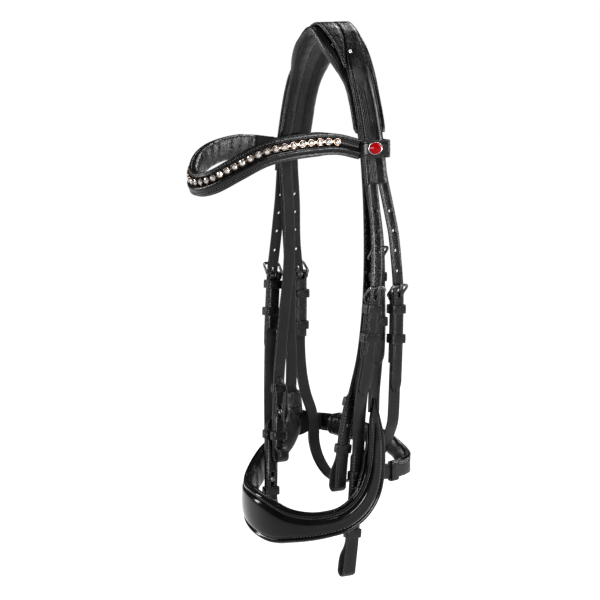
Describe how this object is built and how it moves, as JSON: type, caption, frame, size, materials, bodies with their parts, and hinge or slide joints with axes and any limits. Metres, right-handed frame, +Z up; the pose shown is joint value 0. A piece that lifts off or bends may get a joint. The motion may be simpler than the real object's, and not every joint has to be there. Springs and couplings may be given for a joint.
{
  "type": "double bridle headstall",
  "caption": "Black leather riding bridle headstall with crystal browband, patent padded crank noseband, cheekpieces, two slipheads and throatlatch, without bits or reins.",
  "frame": {"origin": "middle of the crown pad's underside, where it lies on the horse's poll", "axes": "+Z up along the hanging bridle, -Y towards the horse's nose, +X towards the horse's left, the near side"},
  "size_m": [0.214, 0.2119, 0.5444],
  "materials": {
    "bridle_leather": "satin",
    "padded_lining": "matt, soft",
    "patent_leather": "high gloss",
    "dark_nickel": "polished dark nickel",
    "crystal_in_copper_cups": "faceted stones in rose-gold cups",
    "red_enamel_stud": "gloss red enamel"
  },
  "bodies": {
    "headstall": {"crown_pad": "padded_lining", "crown_cover": "bridle_leather", "crown_strap": "bridle_leather", "crown_rivet": "dark_nickel", "browband": "bridle_leather", "browband_lining": "padded_lining", "crystal_chain": "crystal_in_copper_cups", "near_browband_stud": "red_enamel_stud", "off_browband_stud": "red_enamel_stud", "near_cheekpiece": "bridle_leather", "near_cheek_buckle": "dark_nickel", "near_cheek_keeper": "bridle_leather", "near_cheek_lower_keeper": "bridle_leather", "near_cheek_hook_stud": "dark_nickel", "off_cheekpiece": "bridle_leather", "off_cheek_buckle": "dark_nickel", "off_cheek_keeper": "bridle_leather", "off_cheek_lower_keeper": "bridle_leather", "off_cheek_hook_stud": "dark_nickel", "bradoon_sliphead": "bridle_leather", "near_bradoon_end": "bridle_leather", "near_bradoon_keeper": "bridle_leather", "near_bradoon_hook_stud": "dark_nickel", "off_bradoon_end": "bridle_leather", "off_bradoon_keeper": "bridle_leather", "off_bradoon_hook_stud": "dark_nickel", "noseband_sliphead": "bridle_leather", "noseband_hanger_strap": "bridle_leather", "noseband_hanger_buckle": "dark_nickel", "noseband_hanger_keeper": "bridle_leather", "throatlatch": "bridle_leather", "near_throat_buckle": "dark_nickel", "near_throat_keeper": "bridle_leather", "off_throat_buckle": "dark_nickel", "off_throat_keeper": "bridle_leather", "noseband_lining": "padded_lining", "noseband": "bridle_leather", "noseband_patent_panel": "patent_leather", "crank_strap": "bridle_leather", "jaw_strap": "bridle_leather", "jaw_pad": "padded_lining", "crank_buckle": "dark_nickel", "crank_keeper": "bridle_leather", "crank_near_runner": "bridle_leather"},
    "near_cheek_tongue": {"near_cheek_tongue": "dark_nickel"},
    "near_throat_tongue": {"near_throat_tongue": "dark_nickel"},
    "off_cheek_tongue": {"off_cheek_tongue": "dark_nickel"},
    "off_throat_tongue": {"off_throat_tongue": "dark_nickel"},
    "noseband_hanger_tongue": {"noseband_hanger_tongue": "dark_nickel"},
    "crank_tongue": {"crank_tongue": "dark_nickel"},
    "near_cheek_runner": {"near_cheek_runner": "bridle_leather"},
    "off_cheek_runner": {"off_cheek_runner": "bridle_leather"},
    "near_cheek_lower_runner": {"near_cheek_lower_runner": "bridle_leather"},
    "off_cheek_lower_runner": {"off_cheek_lower_runner": "bridle_leather"},
    "near_bradoon_runner": {"near_bradoon_runner": "bridle_leather"},
    "off_bradoon_runner": {"off_bradoon_runner": "bridle_leather"},
    "near_throat_runner": {"near_throat_runner": "bridle_leather"},
    "off_throat_runner": {"off_throat_runner": "bridle_leather"},
    "noseband_hanger_runner": {"noseband_hanger_runner": "bridle_leather"}
  },
  "joints": [
    {"name": "near_cheek_tongue_turn", "type": "hinge", "parent": "headstall", "child": "near_cheek_tongue", "pos_m": [0.09535, -0.01244, -0.25144], "axis": [-0.0011, 0.9953, -0.0973], "range_deg": [0, 8]},
    {"name": "near_throat_tongue_turn", "type": "hinge", "parent": "headstall", "child": "near_throat_tongue", "pos_m": [0.09134, 0.01683, -0.25139], "axis": [0.0018, 0.9987, 0.0512], "range_deg": [0, 8]},
    {"name": "off_cheek_tongue_turn", "type": "hinge", "parent": "headstall", "child": "off_cheek_tongue", "pos_m": [-0.09535, -0.01244, -0.25144], "axis": [-0.0011, -0.9953, 0.0973], "range_deg": [0, 8]},
    {"name": "off_throat_tongue_turn", "type": "hinge", "parent": "headstall", "child": "off_throat_tongue", "pos_m": [-0.09134, 0.01683, -0.25139], "axis": [0.0018, -0.9987, -0.0512], "range_deg": [0, 8]},
    {"name": "noseband_hanger_tongue_turn", "type": "hinge", "parent": "headstall", "child": "noseband_hanger_tongue", "pos_m": [0.08401, -0.00084, -0.21448], "axis": [0.0002, 0.9981, 0.0613], "range_deg": [0, 2]},
    {"name": "crank_tongue_turn", "type": "hinge", "parent": "headstall", "child": "crank_tongue", "pos_m": [-0.02998, 0.03873, -0.40458], "axis": [0.02, 0.0028, 0.9998], "range_deg": [0, 8]},
    {"name": "near_cheek_runner_slide", "type": "slide", "parent": "headstall", "child": "near_cheek_runner", "axis": [-0.0377, -0.0783, -0.9962], "range_m": [-0.0045, 0.0045]},
    {"name": "off_cheek_runner_slide", "type": "slide", "parent": "headstall", "child": "off_cheek_runner", "axis": [0.0606, -0.0844, -0.9946], "range_m": [-0.006, 0.0045]},
    {"name": "near_cheek_lower_runner_slide", "type": "slide", "parent": "headstall", "child": "near_cheek_lower_runner", "axis": [-0.0262, -0.0696, -0.9972], "range_m": [-0.006, 0.003]},
    {"name": "off_cheek_lower_runner_slide", "type": "slide", "parent": "headstall", "child": "off_cheek_lower_runner", "axis": [0.069, -0.0441, -0.9966], "range_m": [-0.003, 0.003]},
    {"name": "near_bradoon_runner_slide", "type": "slide", "parent": "headstall", "child": "near_bradoon_runner", "axis": [-0.1073, -0.0758, -0.9913], "range_m": [-0.006, 0.003]},
    {"name": "off_bradoon_runner_slide", "type": "slide", "parent": "headstall", "child": "off_bradoon_runner", "axis": [0.0941, -0.0406, -0.9947], "range_m": [-0.003, 0.003]},
    {"name": "near_throat_runner_slide", "type": "slide", "parent": "headstall", "child": "near_throat_runner", "axis": [-0.0143, -0.0172, -0.9998], "range_m": [-0.006, 0.0045]},
    {"name": "off_throat_runner_slide", "type": "slide", "parent": "headstall", "child": "off_throat_runner", "axis": [0.0136, -0.0237, -0.9996], "range_m": [-0.006, 0.0045]},
    {"name": "noseband_hanger_runner_slide", "type": "slide", "parent": "headstall", "child": "noseband_hanger_runner", "axis": [-0.003, 0.0106, -0.9999], "range_m": [-0.005, 0.0045]}
  ]
}
